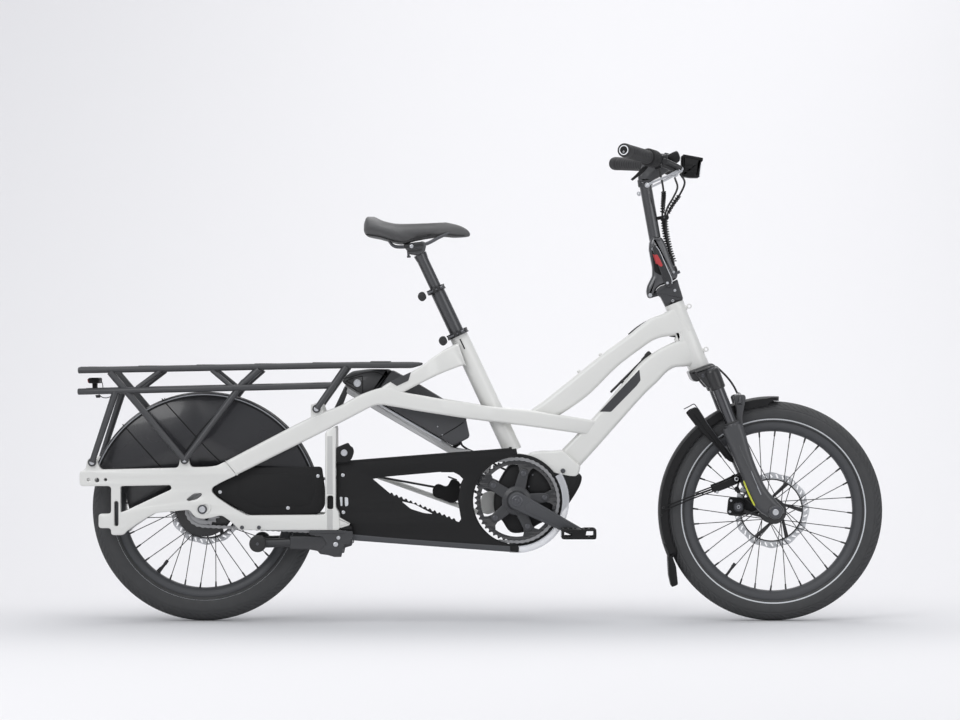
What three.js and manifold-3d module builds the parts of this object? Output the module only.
// Longtail cargo bike. Forward is +X, the left side is +Y, up is +Z, and all lengths are millimetres.
// Places along the bike are read off the photograph as pixels and turned into millimetres.
import * as THREE from 'three';
import { mergeVertices } from 'three/addons/utils/BufferGeometryUtils.js';
import Module from 'manifold-3d';

const wasm = await Module();
wasm.setup();

// Photograph scale
const wheelBase = 1336;
const rearAxlePixel = [205.3, 507.8];
const frontAxlePixel = [772.6, 510.77];
const imageCentrePixel = [480, 360];
const cameraDistance = 9000;
const pixel = wheelBase / (frontAxlePixel[0] - rearAxlePixel[0]);
const crankPixel = [516.8, 500.4];

// Clearances and facets
const gap = 0.3;
const overrun = 3;
const wheelFacets = 36;
const roundFacets = 16;
const rodFacets = 12;
const thinFacets = 8;
const mitreShare = 0.4;
const fineRound = 6.5;

// Driving sizes
const rimOuterRadius = 209;
const rimDepth = 22;
const rimWidth = 36;
const rearTyreHeight = 56;
const rearTyreWidth = 62;
const frontTyreHeight = 49;
const frontTyreWidth = 55;
const rimInnerRadius = rimOuterRadius - rimDepth;
const rearTyreRadius = rimOuterRadius + rearTyreHeight;
const frontTyreRadius = rimOuterRadius + frontTyreHeight;
const frameSide = 84;
const beamWidth = 24;
const mainTubeWidth = 44;
const rearHubSpan = 143.4;
const frontHubSpan = 95.4;
const chainLine = 58;
const crankLength = 160;
const seatTubeRadius = 22;
const lowerPostRadius = 17;
const upperPostRadius = 13.6;
const steererRadius = 14.3;
const headTubeRadius = 23;
const forkHalfTrack = 68;
const stanchionRadius = 15.5;
const forkLegWidth = 40;
const barRadius = 11.1;
const barHalfLength = 300;
const axleRadius = 6;

// Place of a pixel as [x, z], for a spot that lies this far to the right of the middle plane
function at([column, row], toViewer = 0) {
  const nearer = 1 + toViewer / cameraDistance;
  const flatColumn = imageCentrePixel[0] + (column - imageCentrePixel[0]) / nearer;
  const flatRow = imageCentrePixel[1] + (row - imageCentrePixel[1]) / nearer;
  return [(flatColumn - rearAxlePixel[0]) * pixel, rearTyreRadius + (rearAxlePixel[1] - flatRow) * pixel];
}

// Same place as [x, y, z], on a plane y
function spot(place, y = 0) {
  const [x, z] = at(place, -y);
  return [x, y, z];
}

// Same place as [x, y, z], at a distance out on either side, read off the near side
function sideSpot(place, side, distance) {
  const [x, z] = at(place, distance);
  return [x, side * distance, z];
}

const outline = (pixels, toViewer = 0) => pixels.map((place) => at(place, toViewer));

const rearAxle = [0, rearTyreRadius];
const frontAxle = at(frontAxlePixel);
const crankAxis = at(crankPixel, chainLine);

// Place between two others in the side view
const between = (a, b, part) => [a[0] + (b[0] - a[0]) * part, a[1] + (b[1] - a[1]) * part];

// Closed solid of a geometry, facing out
function solidOf(geometry) {
  const bare = geometry.clone();
  bare.deleteAttribute('normal');
  bare.deleteAttribute('uv');
  const welded = mergeVertices(bare, 1e-3);
  const points = welded.attributes.position.array;
  const faces = Uint32Array.from(welded.index.array);
  let volume = 0;
  for (let i = 0; i < faces.length; i += 3) {
    const [a, b, c] = [0, 1, 2].map((k) => new THREE.Vector3().fromArray(points, 3 * faces[i + k]));
    volume += a.dot(b.cross(c));
  }
  if (volume < 0) {
    for (let i = 0; i < faces.length; i += 3) {
      [faces[i + 1], faces[i + 2]] = [faces[i + 2], faces[i + 1]];
    }
  }
  const mesh = new wasm.Mesh({ numProp: 3, vertProperties: Float32Array.from(points), triVerts: faces });
  return new wasm.Manifold(mesh);
}

function geometryOf(solid) {
  const mesh = solid.getMesh();
  const geometry = new THREE.BufferGeometry();
  geometry.setAttribute('position', new THREE.Float32BufferAttribute(mesh.vertProperties, 3));
  geometry.setIndex(Array.from(mesh.triVerts));
  geometry.computeVertexNormals();
  return geometry;
}

const join = (...solids) => solids.reduce((whole, part) => whole.add(part));
const cut = (whole, ...tools) => tools.reduce((rest, tool) => rest.subtract(tool), whole);

// Solid with each point moved sideways by a function of x, taken in lengths that end at the bends
function warp(solid, shift, bends) {
  const parts = [];
  let rest = solid;
  for (const bend of bends) {
    parts.push(rest.trimByPlane([1, 0, 0], bend));
    rest = rest.trimByPlane([-1, 0, 0], -bend);
  }
  const moved = [...parts, rest].filter((part) => !part.isEmpty()).map((part) => {
    const mesh = part.getMesh();
    const points = Float32Array.from(mesh.vertProperties);
    for (let i = 0; i < points.length; i += 3) {
      points[i + 1] += shift(points[i]);
    }
    return new wasm.Manifold(new wasm.Mesh({ numProp: 3, vertProperties: points, triVerts: mesh.triVerts }));
  });
  return join(...moved);
}

// Outline in the side view, made solid between two planes y, with its edges rounded by a bevel
function slab(points, yA, yB, round = 0, holes = []) {
  const shape = new THREE.Shape(points.map(([x, z]) => new THREE.Vector2(x, z)));
  for (const hole of holes) {
    shape.holes.push(new THREE.Path(hole.map(([x, z]) => new THREE.Vector2(x, z))));
  }
  const width = Math.abs(yB - yA);
  const options = { depth: width - 2 * round, bevelEnabled: round > 0, curveSegments: roundFacets };
  const bevelSegments = round > fineRound ? 2 : 1;
  Object.assign(options, { bevelSize: round, bevelThickness: round, bevelOffset: -round, bevelSegments });
  const geometry = new THREE.ExtrudeGeometry(shape, options);
  geometry.translate(0, 0, round);
  geometry.rotateX(Math.PI / 2);
  geometry.translate(0, Math.max(yA, yB), 0);
  return solidOf(geometry);
}

// Outline with every edge moved outwards by a distance
function grow(points, distance) {
  const turn = THREE.ShapeUtils.isClockWise(points.map(([x, z]) => new THREE.Vector2(x, z))) ? 1 : -1;
  return points.map((point, i) => {
    const [before, after] = [points.at(i - 1), points[(i + 1) % points.length]];
    const normals = [[before, point], [point, after]].map(([a, b]) => {
      return new THREE.Vector2(turn * (a[1] - b[1]), turn * (b[0] - a[0])).normalize();
    });
    const middle = normals[0].clone().add(normals[1]).normalize();
    const reach = distance / Math.max(middle.dot(normals[0]), mitreShare);
    return [point[0] + middle.x * reach, point[1] + middle.y * reach];
  });
}

// Points of a circle in the side view
function circle([x, z], radius, count = roundFacets) {
  const points = [];
  for (let i = 0; i < count; i += 1) {
    const angle = 2 * Math.PI * i / count;
    points.push([x + radius * Math.cos(angle), z + radius * Math.sin(angle)]);
  }
  return points;
}

// Points of an arc in the side view, angles in degrees, counter-clockwise from straight forward
function arc([x, z], radius, fromDegrees, toDegrees, count) {
  const points = [];
  for (let i = 0; i <= count; i += 1) {
    const angle = THREE.MathUtils.degToRad(fromDegrees + (toDegrees - fromDegrees) * i / count);
    points.push([x + radius * Math.cos(angle), z + radius * Math.sin(angle)]);
  }
  return points;
}

// Cylinder across the bike
const disc = (centre, radius, yA, yB, facets = roundFacets) => slab(circle(centre, radius, facets), yA, yB);

// Round bar between two points
function rod(from, to, radius, facets = rodFacets, endRadius = radius) {
  const start = new THREE.Vector3(...from);
  const end = new THREE.Vector3(...to);
  const geometry = new THREE.CylinderGeometry(endRadius, radius, start.distanceTo(end), facets);
  const turn = new THREE.Quaternion();
  turn.setFromUnitVectors(new THREE.Vector3(0, 1, 0), end.clone().sub(start).normalize());
  geometry.applyQuaternion(turn);
  const middle = start.add(end).multiplyScalar(0.5);
  geometry.translate(middle.x, middle.y, middle.z);
  return solidOf(geometry);
}

function ball(centre, radius, facets = rodFacets) {
  const geometry = new THREE.SphereGeometry(radius, facets, facets / 2);
  geometry.translate(...centre);
  return solidOf(geometry);
}

// Box turned about the cross axis by a tilt in radians, positive leaning back
function block([x, y, z], [length, width, height], tilt = 0) {
  const geometry = new THREE.BoxGeometry(length, width, height);
  geometry.rotateY(-tilt);
  geometry.translate(x, y, z);
  return solidOf(geometry);
}

// Ring turned about the wheel axis through a place, its section given as [radius, y]
function ring([x, z], section, facets = wheelFacets) {
  const points = [...section, section[0]].map(([radius, y]) => new THREE.Vector2(radius, y));
  const geometry = new THREE.LatheGeometry(points, facets);
  geometry.translate(x, 0, z);
  return solidOf(geometry);
}

// Cable along hand-placed points
function cable(points, radius, steps) {
  const path = new THREE.CatmullRomCurve3(points.map((p) => new THREE.Vector3(...p)));
  const section = new THREE.Shape(circle([0, 0], radius, 8).map(([x, z]) => new THREE.Vector2(x, z)));
  return solidOf(new THREE.ExtrudeGeometry(section, { steps, extrudePath: path, bevelEnabled: false }));
}

// Skin through rings of equally many points, closed at both ends
function loft(rings) {
  const count = rings[0].length;
  const points = rings.flat(2);
  const faces = [];
  for (let r = 0; r + 1 < rings.length; r += 1) {
    for (let i = 0; i < count; i += 1) {
      const [a, b] = [r * count + i, r * count + (i + 1) % count];
      faces.push(a, b, b + count, a, b + count, a + count);
    }
  }
  const last = (rings.length - 1) * count;
  for (let i = 1; i + 1 < count; i += 1) {
    faces.push(0, i + 1, i, last, last + i, last + i + 1);
  }
  const geometry = new THREE.BufferGeometry();
  geometry.setAttribute('position', new THREE.Float32BufferAttribute(points, 3));
  geometry.setIndex(faces);
  return solidOf(geometry);
}

// Round bar through several places, mitred at each bend
function bentRod(points, radius, facets = rodFacets) {
  const places = points.map((point) => new THREE.Vector3(...point));
  const runs = places.slice(1).map((place, i) => place.clone().sub(places[i]).normalize());
  const turn = new THREE.Quaternion().setFromUnitVectors(new THREE.Vector3(0, 1, 0), runs[0]);
  let corners = circle([0, 0], radius, facets).map(([x, z]) => {
    return new THREE.Vector3(x, 0, z).applyQuaternion(turn).add(places[0]);
  });
  const rings = [corners.map((corner) => corner.toArray())];
  runs.forEach((run, i) => {
    const normal = i + 1 < runs.length ? run.clone().add(runs[i + 1]).normalize() : run;
    corners = corners.map((corner) => {
      const reach = places[i + 1].clone().sub(corner).dot(normal) / run.dot(normal);
      return corner.clone().addScaledVector(run, reach);
    });
    rings.push(corners.map((corner) => corner.toArray()));
  });
  return loft(rings);
}

// Finishes
function finish(color, roughness, metalness) {
  return new THREE.MeshStandardMaterial({ color, roughness, metalness });
}
const whitePaint = () => finish(0xdededb, 0.3, 0);
const darkPaint = () => finish(0x3a3b3e, 0.5, 0.2);
const blackPaint = () => finish(0x1c1c1e, 0.45, 0.1);
const blackPlastic = () => finish(0x232325, 0.6, 0);
const tyreRubber = () => finish(0x3c3d3f, 0.9, 0);
const steel = () => finish(0xb9bcc0, 0.3, 1);
const silver = () => finish(0xd5d7da, 0.35, 0.9);

const bike = new THREE.Group();

function piece(name, solid, material) {
  const mesh = new THREE.Mesh(geometryOf(solid), material);
  mesh.name = name;
  bike.add(mesh);
}

const sides = { right: -1, left: 1 };
const halfBeam = beamWidth / 2;
const halfTube = mainTubeWidth / 2;
const innerBeamCentre = halfTube + gap + halfBeam;
const frameInner = frameSide - halfBeam;
const frameOuter = frameSide + halfBeam;

// Steering axis, a line that leans back
const headTopPixel = [673.9, 303.3];
const headBottomPixel = [699, 367.5];
const headTop = spot(headTopPixel);
const headBottom = spot(headBottomPixel);
const steerUp = new THREE.Vector3(...headTop).sub(new THREE.Vector3(...headBottom)).normalize();
const steerForward = new THREE.Vector3(steerUp.z, 0, -steerUp.x);

// Point by its height up the steering axis from the head tube's foot, its lead ahead of it, and y
function steerPoint(height, lead, y) {
  const point = new THREE.Vector3(...headBottom);
  point.addScaledVector(steerUp, height).addScaledVector(steerForward, lead);
  return [point.x, y, point.z];
}

// Head tube, with two bosses for a front rack
const headTubeLength = new THREE.Vector3(...headTop).distanceTo(new THREE.Vector3(...headBottom));
const bossRadius = 6;
const bossWall = 9;
const bossHeights = [34, 143];
const bossLead = 31;
const bearingRoom = 2.7;

function headTube() {
  const bore = steererRadius + bearingRoom;
  let tube = rod(steerPoint(0, 0, 0), steerPoint(headTubeLength, 0, 0), headTubeRadius, roundFacets);
  for (const height of bossHeights) {
    const boss = steerPoint(height, bossLead, 0);
    tube = join(tube, rod(steerPoint(height, headTubeRadius / 2, 0), boss, bossRadius, thinFacets));
    tube = join(tube, disc([boss[0], boss[2]], bossWall, -bossWall, bossWall, rodFacets));
    tube = cut(tube, disc([boss[0], boss[2]], bossWall / 2, -2 * bossWall, 2 * bossWall, thinFacets));
  }
  const passage = rod(
    steerPoint(-overrun, 0, 0), steerPoint(headTubeLength + overrun, 0, 0), bore, roundFacets);
  return cut(tube, passage);
}

const headTubeAndGap = rod(
  steerPoint(-overrun, 0, 0), steerPoint(headTubeLength + overrun, 0, 0), headTubeRadius + gap, roundFacets);

// Main tubes, drawn as outlines in the side view
const tubeRound = 9;
const topTubePixels = [
  [669, 309], [664.6, 313], [651, 318], [638, 327], [627, 336], [601, 355], [560, 388], [545, 400],
  [534, 407],
  [530, 410.8], [534, 424], [548, 426], [558, 416], [572, 407], [590.6, 393], [618, 366], [641.6, 348],
  [652, 341], [661, 337.5], [670, 336], [681, 337]];
const downTubePixels = [
  [688, 336], [675, 341.5], [663, 347], [651, 354], [640, 363], [626, 379], [598, 412], [588, 422],
  [562, 449.5],
  [580.4, 465.5], [621, 420], [657, 382], [667, 371.6], [674, 367.6], [680, 366.4], [690, 369], [699, 364]];

function topTube() {
  const tube = slab(outline(topTubePixels), -halfTube, halfTube, tubeRound);
  return cut(tube, headTubeAndGap);
}

// The down tube ends in the bracket that holds the motor from above
const bracketPixels = [
  [505, 462], [509, 453.5], [516, 452.6], [526, 454.8], [532.8, 451.7], [544, 450.6], [552.4, 451],
  [562, 449.5],
  [580.4, 465.5], [578.8, 472], [576, 477], [570, 477], [558, 474.5], [545, 471], [533, 467], [515, 465]];
const motorHalfWidth = 48;
const bracketRound = 5;

function downTube() {
  const tube = slab(outline(downTubePixels), -halfTube, halfTube, tubeRound);
  const bracket = slab(outline(bracketPixels), -motorHalfWidth, motorHalfWidth, bracketRound);
  return cut(join(tube, bracket), headTubeAndGap, seatTubeAndGap);
}

// Seat tube, with its slot on the right
const seatTopPixel = [457.9, 334.5];
const seatFootPixel = [513, 451];
const seatTop = spot(seatTopPixel);
const seatFoot = spot(seatFootPixel);
const seatUp = new THREE.Vector3(...seatTop).sub(new THREE.Vector3(...seatFoot)).normalize();
const seatForward = new THREE.Vector3(seatUp.z, 0, -seatUp.x);
const seatTilt = Math.atan2(-seatUp.x, seatUp.z);
const seatTubeLength = new THREE.Vector3(...seatTop).distanceTo(new THREE.Vector3(...seatFoot));

// Point by its height up the seat axis from the seat tube's rim, its lead ahead of it, and y
function seatPoint(height, lead, y) {
  const point = new THREE.Vector3(...seatTop);
  point.addScaledVector(seatUp, height).addScaledVector(seatForward, lead);
  return [point.x, y, point.z];
}

const boreShare = 0.86;
const clampSlotWidth = 3;
const clampSlotLength = 26;
const collarWall = 4.5;
const collarHeight = 12;
const earLead = 9;
const earReach = 10;
const boltRadius = 3;
const nutRadius = 6;
const nutLength = 9;
const washerThickness = 4;
const leverLead = 35;
const camRadius = 10;
const camLength = 22;
const bladeReach = 54;
const bladeThickness = 6;
const bladeHeight = 15;

// Split collar with a bolt boss on the right, around a tube whose rim is at a height
function collar(height, tubeRadius) {
  const outer = tubeRadius + collarWall;
  const band = rod(seatPoint(height - collarHeight, 0, 0), seatPoint(height, 0, 0), outer);
  const middle = height - collarHeight / 2;
  const ear = block(seatPoint(middle, 0, -outer), [2 * earLead, earReach, collarHeight], seatTilt);
  const slot = block(
    seatPoint(middle, 0, -outer - earReach), [clampSlotWidth, 4 * earReach, 2 * collarHeight], seatTilt);
  return [join(band, ear), slot];
}

// Bolt of a collar, with its nut in front and the washer that the lever's cam bears on behind
function clampBolt(height, tubeRadius) {
  const y = -tubeRadius - collarWall - boltRadius / 2;
  const middle = height - collarHeight / 2;
  const washerLead = leverLead - camRadius - gap;
  const stretch = (from, to, radius) => {
    return rod(seatPoint(middle, from, y), seatPoint(middle, to, y), radius, thinFacets);
  };
  return join(
    stretch(earLead + nutLength, -washerLead, boltRadius),
    stretch(earLead - gap, earLead + nutLength, nutRadius),
    stretch(washerThickness - washerLead, -washerLead, nutRadius));
}

// Quick-release lever: a cam barrel upright behind the collar, its blade closed round the back
function quickLever(height, tubeRadius) {
  const y = -tubeRadius - collarWall - boltRadius / 2;
  const middle = height - collarHeight / 2;
  const half = camLength / 2;
  const barrel = rod(
    seatPoint(middle - half, -leverLead, y), seatPoint(middle + half, -leverLead, y), camRadius, roundFacets);
  const blade = block(
    seatPoint(middle, -leverLead - camRadius + bladeThickness / 2, y + bladeReach / 2),
    [bladeThickness, bladeReach, bladeHeight], seatTilt);
  return join(barrel, blade);
}

function seatTube() {
  const [band, slot] = collar(0, seatTubeRadius);
  let tube = rod(seatPoint(-seatTubeLength, 0, 0), seatPoint(0, 0, 0), seatTubeRadius);
  tube = join(tube, band);
  const bore = rod(
    seatPoint(-boreShare * seatTubeLength, 0, 0), seatPoint(overrun, 0, 0), lowerPostRadius + gap);
  const longSlot = block(
    seatPoint(-clampSlotLength / 2, 0, -seatTubeRadius), [clampSlotWidth, 2 * earReach, clampSlotLength],
    seatTilt);
  return join(cut(tube, bore, slot, longSlot), clampBolt(0, seatTubeRadius));
}

const seatTubeAndGap = rod(
  seatPoint(-seatTubeLength - overrun, 0, 0), seatPoint(overrun, 0, 0), seatTubeRadius + gap);

// Side beams, one on each side, each with a stay up to the seat tube
const beamRound = 6;
const beamPixels = [
  [600, 421.5], [590, 420], [530, 410.5], [494, 407], [483, 406], [461, 402], [440, 398.6], [404, 392],
  [388, 382], [362, 394], [340, 405.6], [324, 411.6], [321, 404], [311, 404], [308, 418.4], [226, 461],
  [238, 474.5], [247, 470], [324.5, 431], [340, 423], [376, 404.6], [379, 404], [440, 414.4], [462, 418],
  [494, 422.4], [521, 425.5], [576, 433], [592, 436]];
const stayPixels = [
  [466, 366], [461, 366], [440, 374], [418, 384.5], [404, 392], [392, 397], [380, 392], [388, 382],
  [411, 372], [420, 367], [431, 361], [434, 356.5], [448, 347.5], [458, 343]];
const beamFlareColumns = [494, 440];
const stayFlareColumns = [461, 420];

// Beam that runs close to the tubes in front and spreads behind
function flared(pixels, flareColumns, side) {
  const [near, far] = flareColumns.map((column) => at([column, 0])[0]);
  const shift = (x) => {
    const part = THREE.MathUtils.clamp((near - x) / (near - far), 0, 1);
    return side * (innerBeamCentre + (frameSide - innerBeamCentre) * part);
  };
  return warp(slab(outline(pixels, frameSide), -halfBeam, halfBeam, beamRound), shift, [near, far]);
}

function sideBeam(side) {
  const beam = flared(beamPixels, beamFlareColumns, side);
  const stay = flared(stayPixels, stayFlareColumns, side);
  return cut(join(beam, stay), seatTubeAndGap);
}

// Rear frame ends: arm, dropout, lower beam and upright in one welded piece on each side
const rearFramePixels = [
  [80, 471], [86, 469.4], [88, 458], [96, 458], [101, 469.4], [178.6, 467.6], [181, 456], [188, 456],
  [191, 467], [207, 466.8], [217, 465.6], [226, 461], [238, 474.5], [222, 482], [213, 487], [211.5, 491],
  [217, 497], [232, 507], [247, 515.2], [325.4, 514.5], [325.4, 431.6], [335.8, 426], [335.8, 508],
  [339, 512], [340, 530], [240, 530], [232, 522], [222, 515], [212, 517.5], [203, 519], [195, 517],
  [190, 509.6], [175, 511], [155, 513], [140, 522], [127, 531], [124, 535], [111.5, 535], [111.5, 528],
  [99, 528], [99, 513.5], [111.5, 513.5], [111.5, 486], [82, 486], [80, 484]];
const armGapPixels = [[121, 486], [121, 512.5], [130, 508.6], [172, 489], [171, 485]];
const rearSlotPixels = [[114.6, 501], [114.6, 526], [118.8, 526], [118.8, 501]];
const uprightSlotPixels = [[327.4, 495.5], [327.4, 509], [333.4, 509], [333.4, 495.5]];
const dropoutSlotPixels = [[186.5, 499.5], [189, 501], [197, 499], [202, 495.5], [202, 493], [194, 493.5]];
const beamCutPixels = [[226, 461], [238, 474.5]];
const armHolePixels = [[89, 479.5], [97.5, 480], [106, 479.5]];
const armHoleRadii = [3.5, 5, 3.5];
const endCapLength = 12;
const stayRadius = 6;
const highStayPixels = [[331, 466.5], [503, 455]];
const lowStayPixels = [[331, 459], [482, 510]];
const yokePixels = [[479, 505], [483, 493.5], [490, 491.5], [497, 494], [497, 512], [488, 515], [481, 513]];
const yokeInner = 20;
const yokeOuter = 38;
const stayWeld = 1.5;
const stayRearSide = frameInner - stayRadius + stayWeld;
const stayFrontSide = 30;

function rearFrame(side) {
  const holes = [armGapPixels, rearSlotPixels, uprightSlotPixels, dropoutSlotPixels];
  let frame = slab(outline(rearFramePixels, frameSide), side * frameInner, side * frameOuter, beamRound / 2);
  for (const hole of holes) {
    frame = cut(frame, slab(outline(hole, frameSide), 0, side * 2 * frameOuter));
  }
  armHolePixels.forEach((hole, i) => {
    frame = cut(frame, disc(at(hole, frameSide), armHoleRadii[i], 0, side * 2 * frameOuter, rodFacets));
  });
  frame = cut(frame, disc(rearAxle, axleRadius + gap, 0, side * 2 * frameOuter));
  const stay = side < 0 ? highStayPixels : lowStayPixels;
  const back = spot(stay[0], side * stayRearSide);
  const front = spot(stay[1], side * stayFrontSide);
  frame = join(frame, rod(back, front, stayRadius));
  if (side > 0) {
    frame = join(frame, slab(outline(yokePixels), yokeInner, yokeOuter));
  }
  const [a, b] = outline(beamCutPixels, frameSide);
  const along = new THREE.Vector2(b[0] - a[0], b[1] - a[1]).normalize();
  const across = new THREE.Vector2(-along.y, along.x);
  const reach = new THREE.Vector2(b[0] - a[0], b[1] - a[1]).length();
  const corners = [[-overrun, -gap], [reach + overrun, -gap], [reach + overrun, gap], [-overrun, gap]];
  const seam = corners.map(
    ([u, v]) => [a[0] + along.x * u + across.x * v, a[1] + along.y * u + across.y * v]);
  return cut(frame, slab(seam, 0, side * 2 * frameOuter), motorRoom);
}

// Wheels
const tyreWall = 5;
const tyreFacets = 6;
const tyreInnerFacets = 2;
const tyreWrapDegrees = 124;
const beadShares = [0.94, 0.66];
const rimShares = [
  [1, 1], [0.55, 0.6], [0.55, -0.6], [1, -1], [0.1, -0.6], [0, 0], [0.1, 0.6]];
const spokeRadius = 1.1;
const spokesPerFlange = 12;
const spokeInset = 4;
const spokeFacets = 3;
const spokeWeave = 1.7;
const rotorRadius = 90;
const rotorTrack = 17;
const rotorThickness = 2;
const rotorArms = 6;
const rotorArmDegrees = 13;
const rotorHubRadius = 30;
const axleHeadRadius = 9;
const axleHeadLength = 8;
const hubs = {
  front: {
    halfSpan: frontHubSpan / 2, rightEnd: frontHubSpan / 2, capRadius: 12, body: 17, flange: 29,
    flangeWidth: 4,
    left: 26, right: -34, seat: 24, rotorPlace: 36, cross: 2 },
  rear: {
    halfSpan: rearHubSpan / 2, rightEnd: 44, capRadius: 13, body: 58, flange: 66, flangeWidth: 4,
    left: 30, right: -38, seat: 26, rotorPlace: 56, cross: 1 },
};

function tyre(centre, radius, width) {
  const half = width / 2;
  const middle = radius - half;
  const bead = rimOuterRadius + gap;
  const arcPoints = (size, from, to, count) => arc([middle, 0], size, from, to, count);
  return ring(centre, [
    [bead, -beadShares[0] * rimWidth / 2],
    ...arcPoints(half, -tyreWrapDegrees, tyreWrapDegrees, tyreFacets),
    [bead, beadShares[0] * rimWidth / 2],
    [bead, beadShares[1] * rimWidth / 2],
    ...arcPoints(half - tyreWall, tyreWrapDegrees, -tyreWrapDegrees, tyreInnerFacets),
    [bead, -beadShares[1] * rimWidth / 2]]);
}

function rim(centre) {
  return ring(centre, rimShares.map(([r, y]) => [rimInnerRadius + r * rimDepth, y * rimWidth / 2]));
}

// Hub shell with its spokes, which stop at the rim
function hub(centre, size) {
  const bore = axleRadius + gap;
  const neck = size.rotorPlace - gap;
  const edge = size.right - size.flangeWidth;
  let whole = ring(centre, [
    [bore, -size.rightEnd], [size.capRadius, -size.rightEnd], [size.capRadius, edge], [size.flange, edge],
    [size.flange, size.right], [size.body, size.right], [size.body, size.left], [size.flange, size.left],
    [size.flange, size.left + size.flangeWidth], [size.seat, size.left + size.flangeWidth], [size.seat, neck],
    [size.capRadius, neck], [size.capRadius, size.halfSpan], [bore, size.halfSpan]], roundFacets);
  const step = 2 * Math.PI / spokesPerFlange;
  for (const side of [1, -1]) {
    const flangePlace = side > 0 ? size.left + size.flangeWidth / 2 : size.right - size.flangeWidth / 2;
    for (let i = 0; i < spokesPerFlange; i += 1) {
      const start = step * (i + side / 4);
      const end = start + (i % 2 ? -1 : 1) * size.cross * step;
      const inner = size.flange - spokeInset;
      const outer = rimInnerRadius - spokeRadius;
      const from = [centre[0] + inner * Math.cos(start), flangePlace, centre[1] + inner * Math.sin(start)];
      const weave = i % 2 ? spokeWeave : -spokeWeave;
      from[1] += weave;
      const to = [
        centre[0] + outer * Math.cos(end), side * spokeInset + weave, centre[1] + outer * Math.sin(end)];
      whole = join(whole, rod(from, to, spokeRadius, spokeFacets));
    }
  }
  return whole;
}

function rotor(centre, place, seat) {
  const holes = [circle(centre, seat + gap)];
  const step = 360 / rotorArms;
  for (let i = 0; i < rotorArms; i += 1) {
    const from = i * step + rotorArmDegrees / 2;
    const to = (i + 1) * step - rotorArmDegrees / 2;
    holes.push([
      ...arc(centre, rotorRadius - rotorTrack, from, to, 4), ...arc(centre, rotorHubRadius, to, from, 2)]);
  }
  return slab(circle(centre, rotorRadius, wheelFacets), place, place + rotorThickness, 0, holes);
}

function axle(centre, halfLength) {
  const end = halfLength + axleHeadLength;
  const shaft = disc(centre, axleRadius, -halfLength, halfLength);
  const head = disc(centre, axleHeadRadius, -halfLength, -end, rodFacets);
  const nut = disc(centre, axleHeadRadius, halfLength, end, 6);
  return join(shaft, head, nut);
}

// Toothed wheel outline
const chainPitch = 12.7;
const toothHeight = 6;
const toothShares = [0.16, 0.5, 0.84];
const toothTipShare = 0.4;

function toothed(centre, teeth) {
  const pitchRadius = chainPitch / (2 * Math.sin(Math.PI / teeth));
  const tip = pitchRadius + toothHeight * toothTipShare;
  const root = pitchRadius - toothHeight * (1 - toothTipShare);
  const points = [];
  for (let i = 0; i < teeth; i += 1) {
    toothShares.forEach((share, k) => {
      const angle = 2 * Math.PI * (i + share) / teeth;
      const radius = k === 1 ? tip : root;
      points.push([centre[0] + radius * Math.cos(angle), centre[1] + radius * Math.sin(angle)]);
    });
  }
  return { points, tip };
}

// Outline round two circles and the straight runs between them
function beltOutline(a, radiusA, b, radiusB, count) {
  const distance = Math.hypot(a[0] - b[0], a[1] - b[1]);
  const lean = THREE.MathUtils.radToDeg(Math.atan2(a[1] - b[1], a[0] - b[0]));
  const wrap = THREE.MathUtils.radToDeg(Math.acos((radiusB - radiusA) / distance));
  return [
    ...arc(a, radiusA, lean - wrap, lean + wrap, count),
    ...arc(b, radiusB, lean + wrap, lean + 360 - wrap, count)];
}

// Drive: chainring, cranks, pedals, sprocket and chain
const ringTeeth = 48;
const sprocketTeeth = 20;
const ringThickness = 4;
const ringBand = 15;
const spiderArms = 5;
const spiderStartDegrees = 4;
const boltCircleRadius = 65;
const boltTabRadius = 9;
const spiderThickness = 6;
const crankAngle = THREE.MathUtils.degToRad(-27.2);
const crankInner = 79;
const crankOuter = 93;
const crankBossRadius = 19;
const crankEndRadius = 13;
const crankRound = 3;
const spindleRadius = 9;
const pedalAxleRadius = 4.5;
const pedalLength = 81;
const pedalThickness = 24;
const pedalWidth = 94;
const pedalGap = 5;
const pedalRound = 4;
const pedalEndWall = 1;
const chainWidth = 8;
const chainHeight = 7;
const chainClearance = 1.4;
const sprocketBossRadius = 14;
const chainringOutline = toothed(crankAxis, ringTeeth);
const sprocketOutline = toothed(rearAxle, sprocketTeeth);
const spiderOuter = chainLine + ringThickness / 2 + gap;

function spiderAngle(i) {
  return THREE.MathUtils.degToRad(spiderStartDegrees + 360 * i / spiderArms);
}

function around(centre, radius, angle) {
  return [centre[0] + radius * Math.cos(angle), centre[1] + radius * Math.sin(angle)];
}

function chainring() {
  const near = -chainLine - ringThickness / 2;
  const far = -chainLine + ringThickness / 2;
  const inner = chainringOutline.tip - ringBand;
  let whole = slab(chainringOutline.points, near, far, 0, [circle(crankAxis, inner, wheelFacets)]);
  for (let i = 0; i < spiderArms; i += 1) {
    const angle = spiderAngle(i);
    const tab = beltOutline(
      around(crankAxis, inner - boltTabRadius / 2, angle), boltTabRadius,
      around(crankAxis, boltCircleRadius, angle),
      boltTabRadius, 3);
    whole = join(whole, slab(tab, near, far));
  }
  return whole;
}

// Crank arm out to its pedal axle; a half turn puts the left one opposite
function crank(side) {
  const angle = side < 0 ? crankAngle : crankAngle + Math.PI;
  const end = around(crankAxis, crankLength, angle);
  const shape = beltOutline(end, crankEndRadius, crankAxis, crankBossRadius, 5);
  const arm = slab(shape, side * crankInner, side * crankOuter, crankRound);
  const stub = disc(
    end, pedalAxleRadius, side * crankOuter, side * (crankOuter + pedalGap + pedalWidth - overrun));
  return { arm: join(arm, stub), end };
}

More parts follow.
